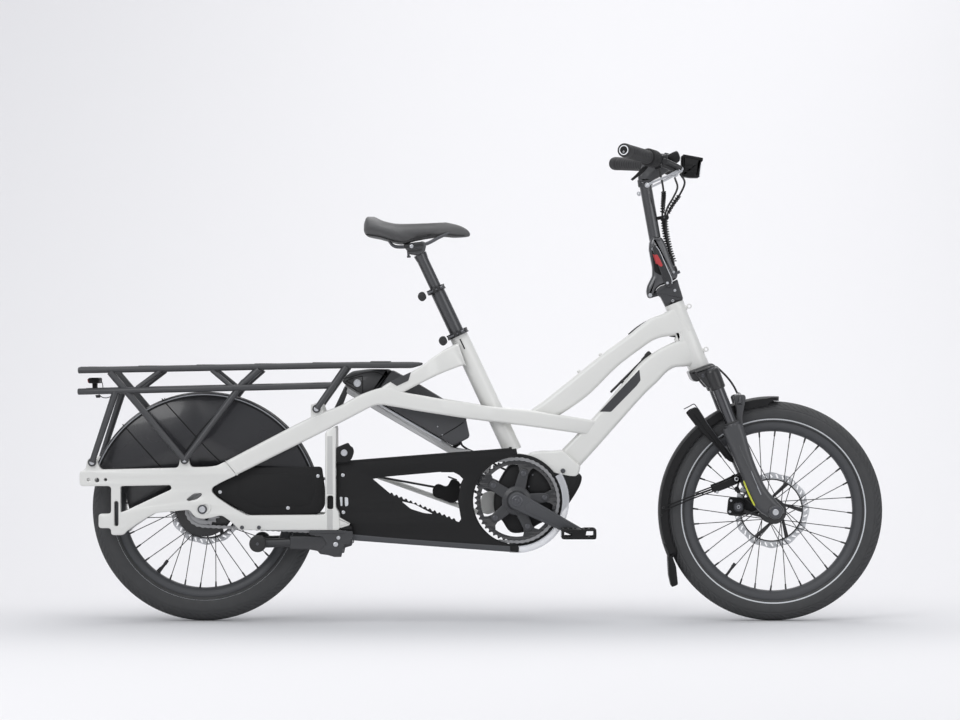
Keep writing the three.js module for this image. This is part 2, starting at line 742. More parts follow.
function rightCrank() {
  let whole = crank(sides.right).arm;
  whole = join(whole, disc(crankAxis, crankBossRadius, -crankOuter + overrun, -motorHalfWidth - 4 * gap));
  for (let i = 0; i < spiderArms; i += 1) {
    const foot = around(crankAxis, boltCircleRadius, spiderAngle(i));
    const arm = beltOutline(foot, boltTabRadius, crankAxis, crankBossRadius, 3);
    whole = join(whole, slab(arm, -spiderOuter, -spiderOuter - spiderThickness));
  }
  return whole;
}

function leftCrank() {
  const boss = disc(crankAxis, crankBossRadius, crankOuter - overrun, motorHalfWidth + 4 * gap);
  const spindle = disc(crankAxis, spindleRadius, motorHalfWidth + 2 * overrun, -motorHalfWidth - 3 * gap);
  return join(crank(sides.left).arm, boss, spindle);
}

function pedal(side) {
  const { end } = crank(side);
  const half = pedalLength / 2;
  const thick = pedalThickness / 2;
  const edge = [
    [end[0] - half, end[1] - thick], [end[0] + half, end[1] - thick], [end[0] + half, end[1] + thick],
    [end[0] - half, end[1] + thick]];
  const inner = crankOuter + pedalGap;
  const outer = inner + pedalWidth;
  const tread = slab(edge, side * inner, side * outer, pedalRound);
  return cut(
    tread, disc(end, pedalAxleRadius + gap, side * (inner - overrun), side * (outer - pedalEndWall)));
}

function sprocket() {
  const hole = circle(rearAxle, axleRadius + gap);
  const teeth = slab(
    sprocketOutline.points, -chainLine - ringThickness / 2, -chainLine + ringThickness / 2, 0, [hole]);
  const inner = -hubs.rear.rightEnd - gap;
  const boss = slab(circle(rearAxle, sprocketBossRadius), inner, -rearHubSpan / 2, 0, [hole]);
  return join(teeth, boss);
}

function chain() {
  const inner = [chainringOutline.tip + chainClearance, sprocketOutline.tip + chainClearance];
  const path = (extra) => beltOutline(crankAxis, inner[0] + extra, rearAxle, inner[1] + extra, 14);
  return slab(path(chainHeight), -chainLine - chainWidth / 2, -chainLine + chainWidth / 2, 0, [path(0)]);
}

// Motor between the cranks
const motorPixels = [
  [508, 466], [516, 461], [533, 462], [572, 468], [577, 472], [581.4, 476.4], [579, 486], [570.6, 500],
  [562, 511],
  [552, 518], [540, 522.6], [530, 528.6], [521, 532], [510, 531], [502, 520], [495, 512], [493.6, 500],
  [496, 488],
  [501.6, 476]];
const motorRound = 6;
const motorCoverPixel = [541, 484];
const motorCoverRadius = 33;
const motorCoverHeight = 3;

const bracketRoom = slab(
  grow(outline(bracketPixels), gap), -motorHalfWidth - overrun, motorHalfWidth + overrun);
const motorRoom = slab(grow(outline(motorPixels), gap), -motorHalfWidth - gap, motorHalfWidth + gap);

function motor() {
  let body = slab(outline(motorPixels), -motorHalfWidth, motorHalfWidth, motorRound);
  const face = -motorHalfWidth - motorCoverHeight;
  body = join(
    body, disc(at(motorCoverPixel, motorHalfWidth), motorCoverRadius, -motorHalfWidth + motorRound, face));
  const bore = disc(crankAxis, spindleRadius + 2 * gap, -2 * motorHalfWidth, 2 * motorHalfWidth);
  const bossRoom = disc(crankAxis, crankBossRadius + 2 * gap, -motorHalfWidth, -2 * motorHalfWidth);
  return cut(body, bore, bossRoom, bracketRoom, seatTubeAndGap);
}

// Chain covers on the right, and the clear guard round the front of the chainring
const coverInner = 73;
const coverThickness = 3;
const coverOuter = coverInner + coverThickness;
const flangeDepth = 10;
const coverFlange = 2.4;
const ringRoomRadius = 103;
const frontCoverPixels = [
  [336.3, 462.2], [345, 461.8], [511, 448.5], [516.5, 450], [519, 552], [352.5, 540], [352, 534.5],
  [340.6, 524],
  [339.6, 512], [336.3, 507]];
const windowPixels = [
  [373, 479], [383, 477], [451, 471], [463, 479], [460.5, 484], [458, 502], [461, 519], [459, 522],
  [456, 521]];
const toothRowPixels = [[456, 521], [389, 493.5]];
const toothRowCount = 14;
const toothDepth = 5;
const crescentPixels = [[401.6, 501.4], [414, 504], [433, 514], [424, 513], [411, 509]];
const guardDegrees = [-98, 32];
const guardRadii = [110, 120];
const rearCoverPixels = [
  [214, 484], [222, 479], [240, 471.5], [250, 467.5], [322, 466.5], [325.1, 488], [325.1, 506], [319, 514],
  [262, 516], [248, 514.6], [217, 496.4], [212, 490]];
const lockBoxPixels = [[336.4, 443], [348, 439.5], [351.5, 442], [354, 455], [353.5, 463], [336.4, 463]];
const lockBoxDepth = 18;
const lockPixel = [344, 453];
const lockRadius = 7;
const lockRound = 2;
const coverTopCorners = 4;
const sideCutPixels = [[300, 440], [350, 440], [350, 560], [300, 560]];

function frontCover() {
  const row = outline(toothRowPixels, coverOuter);
  const teeth = [];
  for (let i = 0; i < toothRowCount; i += 1) {
    const place = (share) => between(row[0], row[1], (i + share) / toothRowCount);
    const tip = place(0.5);
    teeth.push(place(0.25), [tip[0], tip[1] + toothDepth], place(0.75));
  }
  const window = [...outline(windowPixels, coverOuter), ...teeth];
  const crescent = outline(crescentPixels, coverOuter);
  const edge = outline(frontCoverPixels, coverOuter);
  const openings = [window, crescent].map((hole) => slab(hole, -coverInner + overrun, -coverOuter - overrun));
  const plate = cut(slab(edge, -coverInner, -coverOuter), ...openings);
  const rims = slab(edge, -coverInner, -coverInner + flangeDepth);
  const within = edge.map(([x, z], i) => [x, z + (i < coverTopCorners ? -coverFlange : coverFlange)]);
  const inside = slab(within, -coverInner, -coverInner + flangeDepth);
  const sidesOff = slab(outline(sideCutPixels, coverOuter), 0, -coverInner);
  const ringRoom = disc(crankAxis, ringRoomRadius, 0, -2 * coverOuter, wheelFacets);
  let whole = join(cut(plate, ringRoom), cut(rims, inside, sidesOff, ringRoom));
  const guard = [
    ...arc(crankAxis, guardRadii[1], guardDegrees[0], guardDegrees[1], rodFacets),
    ...arc(crankAxis, guardRadii[0], guardDegrees[1], guardDegrees[0], rodFacets)];
  whole = join(whole, slab(guard, -coverInner + coverThickness, -coverOuter));
  const lockBoxFace = -coverInner - lockBoxDepth;
  const lockBox = slab(outline(lockBoxPixels, frameOuter), -coverInner, lockBoxFace, lockRound);
  const lock = disc(at(lockPixel, frameOuter), lockRadius, -coverInner, lockBoxFace - lockRound);
  return join(whole, lockBox, lock);
}

function rearCover() {
  const thin = frameInner - gap;
  return slab(outline(rearCoverPixels, thin), -thin, -thin + coverThickness);
}

// Fork: crown with steerer and stanchions, and lower legs joined by an arch
const legInner = forkHalfTrack - forkLegWidth / 2;
const legOuter = forkHalfTrack + forkLegWidth / 2;
const stanchionLead = 20;
const crownPixels = [
  [688.6, 370.4], [711.6, 361.8], [717, 368], [720, 380], [714, 384], [700, 381.5], [692, 380]];
const socketPixels = [[700, 374], [716, 368], [722, 387.5], [707, 392]];
const legPixels = [
  [721.5, 430], [735, 424.6], [742, 425], [747, 437], [748, 447], [771, 498], [781, 504], [786, 511],
  [780, 520], [770, 521], [763, 514], [755.5, 509], [741, 480], [731, 455]];
const archPixels = [
  [733, 397], [736, 394.6], [744.5, 394.6], [746, 397], [745, 404], [742.5, 425], [746, 436], [737, 440],
  [734.5, 425], [735.5, 405]];
const bridgePixels = [[733, 397], [736, 394.6], [744.5, 394.6], [746, 397], [745, 399.4], [734, 400]];
const archInner = 40;
const stanchionTopHeight = -14;
const stanchionInsert = 160;
const boreDepth = 235;
const legRound = 8;
const steererRise = 30;
const steererFoot = -25;
const crownRound = 3;
const clearedHeight = 40;
const keptHeight = 60;

function forkCrown() {
  const shoulders = slab(outline(crownPixels, legOuter), -legOuter, legOuter, crownRound);
  const steererTop = steerPoint(headTubeLength + steererRise, 0, 0);
  const steerer = rod(steerPoint(steererFoot, 0, 0), steererTop, steererRadius, roundFacets);
  let whole = join(shoulders, steerer);
  for (const side of [-1, 1]) {
    whole = join(whole, slab(outline(socketPixels, legOuter), side * legInner, side * legOuter, crownRound));
    const y = side * forkHalfTrack;
    whole = join(whole, rod(
      steerPoint(-stanchionInsert, stanchionLead, y), steerPoint(stanchionTopHeight, stanchionLead, y),
      stanchionRadius, roundFacets));
  }
  const top = rod(steerPoint(-gap, 0, 0), steerPoint(clearedHeight, 0, 0), legOuter, roundFacets);
  const keep = rod(
    steerPoint(-clearedHeight, 0, 0), steerPoint(keptHeight, 0, 0), steererRadius, roundFacets);
  return cut(whole, cut(top, keep));
}

function forkLowers() {
  const bridge = slab(outline(bridgePixels, legInner), -legInner - overrun, legInner + overrun);
  let whole = bridge;
  for (const side of [-1, 1]) {
    const y = side * forkHalfTrack;
    const leg = slab(outline(legPixels, forkHalfTrack), side * legInner, side * legOuter, legRound);
    const ear = slab(outline(archPixels, legInner), side * archInner, side * (legInner + 2 * overrun));
    const bore = rod(
      steerPoint(-boreDepth, stanchionLead, y), steerPoint(0, stanchionLead, y), stanchionRadius + gap,
      roundFacets);
    whole = join(whole, cut(leg, bore), cut(ear, bore));
  }
  return cut(whole, disc(frontAxle, axleRadius + gap, -2 * legOuter, 2 * legOuter));
}

// Brake calipers: a body round the rotor's rim, on an arm that bolts to the fork leg or the frame
const rotorSlotPlay = 0.8;
const rotorRimPlay = 2;
const frontCaliperArm = 7;
const rearCaliperLead = 6;
const calipers = {
  front: {
    wheel: frontAxle, hub: hubs.front, rimward: 8.1, degrees: 174.27, size: [36, 22, 56], tilt: 0,
    arm: [[738, 500], [752, 497], [768, 504], [764, 514], [742, 516]],
    armInner: legInner - gap - frontCaliperArm, armOuter: legInner - gap },
  rear: {
    wheel: rearAxle, hub: hubs.rear, rimward: 17.5, degrees: 42.5, size: [46, 22, 36], tilt: 0.75,
    arm: [[222, 476], [236, 478], [238, 492], [230, 498], [220, 488]],
    armInner: hubs.rear.rotorPlace + rearCaliperLead, armOuter: frameInner - gap },
};

function caliper({ wheel, hub, rimward, degrees, size, tilt, arm, armInner, armOuter }) {
  const [x, z] = around(wheel, rotorRadius - rimward, THREE.MathUtils.degToRad(degrees));
  const near = hub.rotorPlace;
  const body = block([x, near + rotorThickness / 2, z], size, tilt);
  const slot = disc(
    wheel, rotorRadius + rotorRimPlay, near - rotorSlotPlay, near + rotorThickness + rotorSlotPlay,
    wheelFacets);
  return cut(join(body, slab(outline(arm), armInner, armOuter)), slot);
}

// Fenders: a channel over the tyre, cut to an arc
const frontFenderRoom = 12;
const rearFenderRoom = 8.5;
const fenderSideRoom = 5.75;
const fenderWall = 2.5;
const frontFenderRadius = frontTyreRadius + frontFenderRoom;
const rearFenderRadius = rearTyreRadius + rearFenderRoom;
const frontFenderHalf = frontTyreWidth / 2 + fenderSideRoom;
const rearFenderHalf = rearTyreWidth / 2 + fenderSideRoom;
const fenderLip = 12;
const frontFenderDegrees = [86, 205];
const rearFenderDegrees = [14, 161];
const flapPixels = [[667.4, 556], [671.4, 554.5], [675.5, 566], [677.4, 584], [671, 586.5], [668.4, 575]];
const fenderBladePixels = [
  [686.5, 413], [692, 408], [697, 411.5], [729, 457], [733, 466], [728, 463.5], [700, 430]];
const fenderBladeThickness = 5;
const fenderStayPixels = [[741.5, 478], [713, 489], [662.4, 508]];
const fenderStayRadius = 2.5;
const fenderEyeRadius = 7;
const skirtPixels = [[213, 478], [168, 507.5], [130.5, 508], [125, 486], [104, 470]];
const skirtRoomRadius = 97;
const skirtShort = 3;
const fenderPegPixels = [[150, 476], [262, 453]];
const fenderPegRadius = 5;

function channel(centre, radius, half, [fromDegrees, toDegrees]) {
  const inner = radius - fenderWall;
  const lip = radius - fenderLip;
  const band = ring(centre, [
    [radius, -half], [radius, half], [lip, half], [lip, half - fenderWall], [inner, half - fenderWall],
    [inner, fenderWall - half], [lip, fenderWall - half], [lip, -half]]);
  const sector = slab([centre, ...arc(centre, 2 * radius, fromDegrees, toDegrees, 12)], -2 * half, 2 * half);
  return band.intersect(sector);
}

function frontFender() {
  let whole = channel(frontAxle, frontFenderRadius, frontFenderHalf, frontFenderDegrees);
  whole = join(whole, slab(outline(flapPixels), -frontFenderHalf, frontFenderHalf, fenderWall / 2));
  for (const side of [-1, 1]) {
    const skin = side * (frontFenderHalf - fenderWall / 2);
    whole = join(whole, slab(outline(fenderBladePixels), skin, skin + side * fenderBladeThickness));
    const eyeOuter = side * (legInner - gap);
    const eyeSide = eyeOuter - side * 2 * fenderStayRadius;
    const [eye, bend, foot] = fenderStayPixels;
    const stay = [spot(eye, eyeSide), spot(bend, eyeSide), spot(foot, side * frontFenderHalf)];
    whole = join(
      whole, disc(at(eye), fenderEyeRadius, eyeSide - side * fenderStayRadius, eyeOuter, thinFacets),
      bentRod(stay, fenderStayRadius, thinFacets));
  }
  return whole;
}

// Rear fender with a wheel skirt on each side
function rearFender() {
  let whole = channel(rearAxle, rearFenderRadius, rearFenderHalf, rearFenderDegrees);
  for (const side of [-1, 1]) {
    const [fromDegrees, toDegrees] = rearFenderDegrees;
    const edge = [
      ...arc(rearAxle, rearFenderRadius - fenderWall / 2, fromDegrees, toDegrees - skirtShort, roundFacets),
      ...outline(skirtPixels).reverse()];
    const skirt = slab(edge, side * (rearFenderHalf - fenderWall), side * rearFenderHalf);
    whole = join(whole, cut(skirt, disc(rearAxle, skirtRoomRadius, -2 * rearFenderHalf, 2 * rearFenderHalf)));
    const [pegRoot, pegEnd] = [side * (rearFenderHalf - fenderWall / 2), side * (frameInner - gap)];
    for (const peg of fenderPegPixels) {
      whole = join(whole, disc(at(peg), fenderPegRadius, pegRoot, pegEnd, thinFacets));
    }
  }
  return whole;
}

// Cockpit: folding handlepost on a base clamped to the steerer
const stemBasePixels = [
  [664.9, 306.2], [682.9, 299.1], [679.5, 288], [676.8, 280.2], [668, 284.8], [661, 286.6], [657.4, 289.8],
  [656, 293.5], [660.5, 297]];
const postFittingPixels = [
  [652, 236], [649, 243], [648.6, 250], [652, 268], [652, 276], [647, 286], [646, 292], [647, 296.5],
  [650, 298.2], [654, 294.6], [656.2, 288.8], [660.5, 285.5], [667.5, 283.6], [676.4, 278.8], [677.6, 275],
  [674, 268], [670, 258], [666, 246], [662, 238]];
const hingePixel = [650, 295.3];
const knuckleRootPixel = [660, 292.5];
const knuckleHalf = 8;
const knuckleRadius = 7;
const knuckleRoom = 18;
const hingePinRadius = 3;
const baseHalf = 21;
const fittingHalf = 19;
const fittingRound = 5;
const baseRound = 3;
const postFootPixel = [657.4, 252];
const postTopPixel = [645, 183];
const postRadius = 14.2;
const stemPixels = [
  [638, 176], [638.6, 183.6], [650.6, 184], [652, 181], [660, 177], [670, 170], [672, 162], [668, 154.4],
  [660, 153.6], [650, 158], [642, 166]];
const stemHalf = 22;
const barClampPixel = [664, 162];
const barBendPixel = [658.5, 163];
const barEndPixel = [618.9, 157];
const barStraight = 40;
const barBend = 95;
const clampRadius = 15.9;
const clampHalf = 30;
const latchPixels = [
  [669, 288], [664.6, 286], [661, 275], [652, 250], [652.4, 245.4], [656, 245.4], [659.5, 251],
  [671.8, 278.5], [672, 284]];
const latchThickness = 6;
const latchRound = 1.5;
const glandPixel = [674.4, 269.2];
const glandSize = [12, 22, 14];

// Middle of the bar at a distance from the bike's middle, out on the swept part
function gripPoint(side, distance) {
  const part = (distance - barBend) / (barHalfLength - barBend);
  const [x, z] = at(between(barBendPixel, barEndPixel, part));
  return [x, side * distance, z];
}

function barShape(extra) {
  const [x, z] = at(barClampPixel);
  const end = barHalfLength - overrun + extra;
  const half = (side) => [gripPoint(side, end), gripPoint(side, barBend), [x, side * barStraight, z]];
  const clamp = rod([x, -clampHalf, z], [x, clampHalf, z], clampRadius + extra);
  return join(clamp, bentRod([...half(sides.right), ...half(sides.left).reverse()], barRadius + extra));
}

const barAndGap = barShape(gap);
const headTopAndGap = rod(
  steerPoint(headTubeLength - 2 * headTubeRadius, 0, 0), steerPoint(headTubeLength + gap, 0, 0), legOuter);

function stemBase() {
  const pin = at(hingePixel);
  const body = slab(outline(stemBasePixels), -baseHalf, baseHalf, baseRound);
  const knuckle = slab(
    beltOutline(at(knuckleRootPixel), knuckleRadius, pin, knuckleRadius, 8), -knuckleHalf, knuckleHalf);
  const steererRoom = rod(
    steerPoint(0, 0, 0), steerPoint(headTubeLength + steererRise + 2 * gap, 0, 0), steererRadius + gap,
    roundFacets);
  return cut(
    join(body, knuckle), steererRoom, headTopAndGap, disc(pin, hingePinRadius + gap, -baseHalf, baseHalf));
}

function handlepost() {
  const pin = at(hingePixel);
  const fitting = slab(outline(postFittingPixels), -fittingHalf, fittingHalf, fittingRound);
  const knuckleSpace = disc(pin, knuckleRoom, -knuckleHalf - 2 * gap, knuckleHalf + 2 * gap);
  const hingePin = disc(pin, hingePinRadius, -fittingHalf, fittingHalf);
  const post = rod(spot(postFootPixel), spot(postTopPixel), postRadius, roundFacets);
  const stem = slab(outline(stemPixels), -stemHalf, stemHalf, fittingRound);
  const gland = block(spot(glandPixel), glandSize);
  const baseRoom = slab(outline(stemBasePixels), -baseHalf - gap, baseHalf + gap);
  return cut(join(cut(fitting, knuckleSpace), hingePin, post, stem, gland), barAndGap, baseRoom);
}

function handlepostLatch() {
  const inner = -baseHalf - gap;
  return slab(outline(latchPixels), inner, inner - latchThickness, latchRound);
}

// Brake lever, hinged on its perch and pulled towards the grip
const leverPivotPixel = [677.3, 171.8];
const leverBallPixel = [643.2, 189.5];
const leverPivotSide = 105;
const leverBallSide = 225;
const leverRadius = 3.6;
const leverBallRadius = 6;
const leverBossRadius = 8;
const leverBossHeight = 9;
const leverTravel = THREE.MathUtils.degToRad(14);
const perchRadius = 6;
const perchRootRadius = 9;
const perchRoom = 60;
const leverRoom = 1.5;
const perchClampRadius = 16;
const perchFrom = 97;
const perchTo = 124;
const perchRootShift = 4;

function leverFrame(side) {
  const [pivotX, pivotZ] = at(leverPivotPixel);
  const pivot = new THREE.Vector3(pivotX, side * leverPivotSide, pivotZ);
  const [ballX, ballZ] = at(leverBallPixel);
  const end = new THREE.Vector3(ballX, side * leverBallSide, ballZ);
  const grip = new THREE.Vector3(...gripPoint(side, leverBallSide));
  const along = end.clone().sub(pivot);
  const pull = grip.clone().sub(end);
  const axis = along.clone().cross(pull).normalize();
  return { pivot, end, axis };
}

function leverArm(side, turn, extra) {
  const { pivot, end, axis } = leverFrame(side);
  const tip = end.clone().sub(pivot).applyAxisAngle(axis, turn).add(pivot);
  return rod(pivot.toArray(), tip.toArray(), leverRadius + extra, 8);
}

function leverBoss(side, radius, height) {
  const { pivot, axis } = leverFrame(side);
  const half = axis.clone().multiplyScalar(height / 2);
  return rod(pivot.clone().sub(half).toArray(), pivot.clone().add(half).toArray(), radius);
}

function brakeLever(side) {
  const { end } = leverFrame(side);
  return join(
    leverArm(side, 0, 0), leverBoss(side, leverBossRadius, leverBossHeight),
    ball(end.toArray(), leverBallRadius));
}

// Bar with the clamp and reservoir of each brake
function handlebar() {
  let whole = barShape(0);
  for (const side of [-1, 1]) {
    const { pivot } = leverFrame(side);
    const root = gripPoint(side, leverPivotSide + perchRootShift);
    let perch = rod(root, pivot.toArray(), perchRootRadius, thinFacets, perchRadius);
    perch = cut(perch, leverBoss(side, leverBossRadius + gap, perchRoom));
    for (const turn of [0, leverTravel]) {
      perch = cut(perch, leverArm(side, turn, leverRoom));
    }
    const clamp = rod(gripPoint(side, perchFrom), gripPoint(side, perchTo), perchClampRadius);
    whole = join(whole, perch, clamp);
  }
  return whole;
}

// Grips and the twist shifter, sleeves on the bar
const gripRadius = 16.5;
const shifterRadius = 21;
const shifterFrom = 130;
const shifterTo = 166;
const shifterPlay = 0.75;
const gripFrom = { right: 169, left: 127 };

function sleeve(side, from, to, radius, play = gap) {
  return cut(rod(gripPoint(side, from), gripPoint(side, to), radius), barShape(play));
}

const displayPixel = [671.6, 159.5];
const displayRadius = 19;
const displaySide = 44;
const displayStrapHalf = 8;
const displayStrapShare = 0.7;
const displayBridgeSize = [30.4, 12, 12];
const lightPixels = [
  [681, 156], [684, 155.2], [702, 158.8], [702.3, 161], [700.4, 163.4], [698.6, 178], [690, 178],
  [681, 176.6]];
const lightHalf = 26;
const lightArmRadius = 5;
const lightArmPixels = [[668, 166], [683, 168]];
const lightRound = 3;
const barRoomPixel = [662, 166];
const barRoomRadius = 22.5;

function display() {
  const [x, z] = at(displayPixel);
  const dome = ball([x, -displaySide, z], displayRadius);
  const strapRadius = displayRadius * displayStrapShare;
  const strap = rod(
    [x, -displaySide - displayStrapHalf, z], [x, -displaySide + displayStrapHalf, z], strapRadius);
  const [barX, barZ] = at(barClampPixel);
  const bridge = block([(x + barX) / 2, -displaySide, (z + barZ) / 2], displayBridgeSize);
  return cut(join(dome, strap, bridge), barAndGap);
}

function headlight() {
  const body = slab(outline(lightPixels), -lightHalf, lightHalf, lightRound);
  const arm = rod(spot(lightArmPixels[0]), spot(lightArmPixels[1]), lightArmRadius);
  const stemRoom = slab(outline(stemPixels), -stemHalf - gap, stemHalf + gap);
  const barRoom = disc(at(barRoomPixel), barRoomRadius, -stemHalf, stemHalf);
  return cut(join(body, arm), stemRoom, barRoom);
}

// Hoses and cable from the bar into the post, held by one clip
const hoseRadius = 2.5;
const hoseSteps = 10;
const clipPixel = [662.4, 217.6];
const clipSize = [32, 18, 13];
const clipTilt = 0.2;
const clipPostPixel = [659.4, 262];
const hoseRoutes = [
  [[678, 176, -100], [683, 184, -74], [679, 195, -46], [672.5, 206, -20], [667.6, 217.6, -6],
    [668.4, 232, -6], [671.2, 250, -6], [673.6, 259, -6], [674.8, 265.9, -6]],
  [[677, 176, 100], [679, 186, 70], [674, 197, 40], [669, 207, 18], [665.6, 217.6, 6], [667.8, 232, 6],
    [671.2, 250, 6], [673.6, 259, 6], [674.8, 265.9, 6]],
  [[656.2, 170.8, -118], [660, 182, -88], [662.6, 194, -50], [663, 206, -16], [662.8, 217.6, 0],
    [666.4, 232, 0], [670.6, 250, 0], [673.4, 259, 0], [674.8, 265.9, 0]]];

function cables() {
  let whole = block(spot(clipPixel), clipSize, clipTilt);
  for (const route of hoseRoutes) {
    const points = route.map(([column, row, y]) => [at([column, row])[0], y, at([column, row])[1]]);
    whole = join(whole, cable(points, hoseRadius, hoseSteps));
  }
  const postRoom = rod(spot(clipPostPixel), spot(postTopPixel), postRadius + gap, roundFacets);
  return cut(whole, postRoom, barAndGap);
}

const brakeHoseSide = 30;
const brakeHoseSteps = 12;
const brakeHosePixels = [[716.8, 366.6], [722.5, 371.6], [729, 378.4], [734.4, 386], [738.4, 393.9]];

function frontBrakeHose() {
  const points = outline(brakeHosePixels).map(([x, z]) => [x, brakeHoseSide, z]);
  return cable(points, hoseRadius, brakeHoseSteps);
}

// Seat: two stages of tube that slide in the seat tube, and the saddle on its rails
const lowerPostTopPixel = [436.5, 290.3];
const upperPostTopPixel = [420, 255.3];
const postHeight = ([, row]) => (seatTopPixel[1] - row) * pixel / seatUp.z;
const lowerPostTop = postHeight(lowerPostTopPixel);
const upperPostTop = postHeight(upperPostTopPixel);
const lowerPostFoot = -150;
const upperPostFoot = -5;
const railRadius = 3.5;
const railSide = 22;
const railNoseSide = 9;
const railPixels = [[372, 231], [380, 240], [392, 246], [402, 247], [424, 244.6], [440, 237], [453, 231.5]];
const railSideShares = [0, 0, 0, 0, 0, 0.6, 1];
const headClampPixels = [
  [403, 246], [405, 243.8], [424, 241.6], [426.5, 244], [425, 252], [419, 256], [410, 254.6]];
const headClampHalf = 28;
const saddleTopPixels = [
  [362.6, 230], [364, 225], [367.6, 216], [373, 216.4], [380, 219.6], [390, 222.4], [400, 224], [415, 223.8],
  [430, 223.4], [445, 223], [456, 224], [464, 227], [469, 230.4], [471, 233]];
const saddleBottomRows = [231, 232.5, 235, 236, 236.4, 238, 241, 240.4, 238, 236.8, 236, 235.4, 235, 233.4];
const saddleHalfWidths = [44, 54, 66, 72, 75, 72, 62, 43, 31, 24, 21, 17, 11, 4];
const saddleCrownShare = 0.45;
const saddleTuckShare = 0.7;
const saddleSides = 14;

function lowerPost() {
  const [band, slot] = collar(lowerPostTop, lowerPostRadius);
  const tube = rod(seatPoint(lowerPostFoot, 0, 0), seatPoint(lowerPostTop, 0, 0), lowerPostRadius);
  const bore = rod(
    seatPoint(lowerPostFoot - overrun, 0, 0), seatPoint(lowerPostTop + overrun, 0, 0), upperPostRadius + gap);
  return join(cut(join(tube, band), bore, slot), clampBolt(lowerPostTop, lowerPostRadius));
}

function rails(extra) {
  let whole;
  for (const side of [-1, 1]) {
    const points = railPixels.map((place, i) => {
      const [x, z] = at(place);
      return [x, side * (railSide + (railNoseSide - railSide) * railSideShares[i]), z];
    });
    const rail = cable(points, railRadius + extra, railPixels.length * 2);
    whole = whole ? join(whole, rail) : rail;
  }
  return whole;
}

function upperPost() {
  const top = seatPoint(upperPostTop + railRadius, 0, 0);
  const tube = rod(seatPoint(upperPostFoot, 0, 0), top, upperPostRadius);
  const clamp = slab(outline(headClampPixels), -headClampHalf, headClampHalf, railRadius / 2);
  return join(tube, clamp, rails(0));
}

// Skin of the saddle: crowned on top, its sides drawn in below
function saddle() {
  const rings = saddleTopPixels.map(([column, row], i) => {
    const [x, top] = at([column, row]);
    const bottom = at([column, saddleBottomRows[i]])[1];
    const half = saddleHalfWidths[i];
    const widest = top + (bottom - top) * saddleCrownShare;
    const points = [];
    for (let k = 0; k < saddleSides; k += 1) {
      const angle = 2 * Math.PI * k / saddleSides;
      const [across, up] = [Math.cos(angle), Math.sin(angle)];
      const tuck = up < 0 ? 1 - (1 - saddleTuckShare) * up * up : 1;
      const reach = up < 0 ? widest - bottom : top - widest;
      points.push([x, half * Math.sign(across) * Math.sqrt(Math.abs(across)) * tuck, widest + reach * up]);
    }
    return points;
  });
  const clampRoom = slab(grow(outline(headClampPixels), gap), -headClampHalf - gap, headClampHalf + gap);
  return cut(loft(rings), rails(gap), clampRoom);
}

// Rear rack: a deck on two upper rails, and a welded side on each side for panniers
const railTubeRadius = 7.5;
const upperRailSide = 84;
const lowerRailSide = 92;
const upperRailPixels = [[79, 370.3], [340, 365.3], [415, 365], [421, 362]];
const lowerRailPixels = [[77.6, 391.7], [333, 385.5]];
const slatColumns = [90, 148, 206, 264, 322, 380];
const slatLength = 40;
const slatThickness = 5;
const slatRise = 2;
const strutRadius = 6;
const strutFacets = 6;
const braceRadius = 4.5;
const strutFootSide = 103.5;
const eyeletRadius = 8.5;
const eyeletOuter = 104;
const strutRoutes = [
  [[110, 372], [184.5, 460]],
  [[258.8, 369.4], [237.5, 390], [184.5, 460]],
  [[115.5, 392], [92, 462.3]],
  [[346, 367], [316.5, 408.8]]];
const strutEyelets = [[184.5, 460], [92, 462.3], [316.5, 408.8]];
const strutTopSides = [upperRailSide, upperRailSide, lowerRailSide, upperRailSide];
const braceRoutes = [[[160, 371], [137, 388]], [[211.7, 370], [232, 387]]];

const upperRail = (side, extra) => bentRod(
  upperRailPixels.map((place) => sideSpot(place, side, upperRailSide)), railTubeRadius + extra, thinFacets);

function rackDeck() {
  let whole = join(upperRail(-1, 0), upperRail(1, 0));
  const [from, to] = upperRailPixels;
  for (const column of slatColumns) {
    const row = from[1] + (to[1] - from[1]) * (column - from[0]) / (to[0] - from[0]);
    const [x, z] = at([column, row], upperRailSide);
    whole = join(whole, block([x, 0, z + slatRise], [slatLength, 2 * upperRailSide, slatThickness]));
  }
  return whole;
}

function rackSide(side) {
  let whole = rod(
    ...lowerRailPixels.map((place) => sideSpot(place, side, lowerRailSide)), railTubeRadius, thinFacets);
  strutRoutes.forEach((route, i) => {
    const top = strutTopSides[i];
    const points = route.map((place) => {
      const part = (place[1] - route[0][1]) / (route.at(-1)[1] - route[0][1]);
      return sideSpot(place, side, top + (strutFootSide - top) * part);
    });
    whole = join(whole, bentRod(points, strutRadius, strutFacets));
  });
  for (const [top, foot] of braceRoutes) {
    whole = join(
      whole,
      rod(sideSpot(top, side, upperRailSide), sideSpot(foot, side, lowerRailSide), braceRadius, strutFacets));
  }
  for (const place of strutEyelets) {
    const [near, far] = [side * (frameOuter + gap), side * eyeletOuter];
    whole = join(whole, disc(at(place, strutFootSide), eyeletRadius, near, far, thinFacets));
  }
  return cut(whole, upperRail(side, gap));
}

